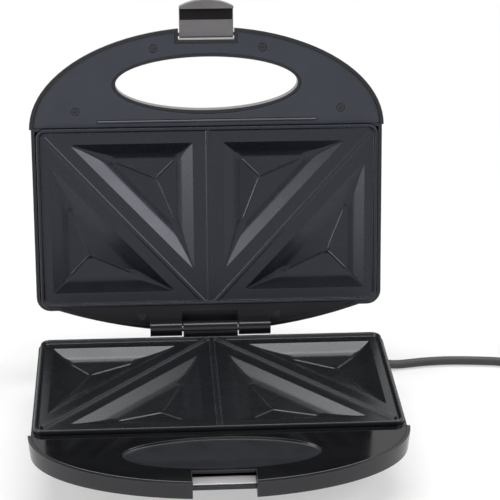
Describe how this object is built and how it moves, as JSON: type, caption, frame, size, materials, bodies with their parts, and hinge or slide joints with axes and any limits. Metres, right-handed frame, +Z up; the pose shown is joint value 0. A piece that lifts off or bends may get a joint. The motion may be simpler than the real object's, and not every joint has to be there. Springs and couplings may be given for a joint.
{
  "type": "sandwich toaster",
  "caption": "Sandwich toaster with its lid standing open, triangular pockets in both cooking plates, D-shaped handles, a swing latch and a mains cord.",
  "frame": {"origin": "centre of the toaster's footprint on the table, cord left out", "axes": "+Z up, -Y towards the handles, +X to the right of someone facing the handles"},
  "size_m": [0.4552, 0.2558, 0.2487],
  "materials": {
    "casing_plastic": "satin",
    "gloss_cover": "polished",
    "lid_cover": "satin",
    "bright_strip": "satin",
    "coated_plate": "dark non-stick coating",
    "element_metal": "matte",
    "reflector_sheet": "satin",
    "steel_fixings": "satin",
    "pin_steel": "polished",
    "foot_rubber": "matte",
    "fuse_body": "matte",
    "block_plastic": "satin",
    "clamp_plastic": "satin",
    "lead_sleeve": "woven glass sleeve",
    "cord_rubber": "satin",
    "tie_plastic": "satin",
    "thermostat_body": "matte",
    "red_lens": "clear tinted",
    "green_lens": "clear tinted",
    "lamp_glass": "clear",
    "latch_plastic": "satin silver",
    "insert_plastic": "matte"
  },
  "bodies": {
    "base": {"lower_casing": "casing_plastic", "lower_handle_cover": "gloss_cover", "catch_strip": "bright_strip", "lower_plate": "coated_plate", "lower_element": "element_metal", "lower_reflector": "reflector_sheet", "lower_plate_screws": "steel_fixings", "lower_cover_screws": "steel_fixings", "feet": "foot_rubber", "hinge_pins": "pin_steel", "thermal_fuse": "fuse_body", "terminal_block": "block_plastic", "cord_clamp": "clamp_plastic", "clamp_screws": "steel_fixings", "lower_wiring": "lead_sleeve", "strain_relief": "cord_rubber", "cord": "cord_rubber", "cord_coil": "cord_rubber", "cord_tie": "tie_plastic", "plug_body": "cord_rubber", "plug_pins": "pin_steel"},
    "lid": {"upper_casing": "casing_plastic", "upper_handle_cover": "lid_cover", "upper_plate": "coated_plate", "upper_element": "element_metal", "upper_reflector": "reflector_sheet", "upper_plate_screws": "steel_fixings", "upper_cover_screws": "steel_fixings", "upper_wiring": "lead_sleeve", "hinge_side_screws": "steel_fixings", "thermostat": "thermostat_body", "power_lens": "red_lens", "ready_lens": "green_lens", "indicator_lamps": "lamp_glass", "latch_pin": "pin_steel"},
    "latch": {"latch": "latch_plastic", "latch_insert": "insert_plastic"}
  },
  "joints": [
    {"name": "lid_hinge", "type": "hinge", "parent": "base", "child": "lid", "pos_m": [0, 0.064, 0.0379], "axis": [1, 0, 0], "range_deg": [0, 101]},
    {"name": "latch_hinge", "type": "hinge", "parent": "lid", "child": "latch", "pos_m": [0, 0.10917, 0.22471], "axis": [1, 0, 0], "range_deg": [0, 90]}
  ]
}
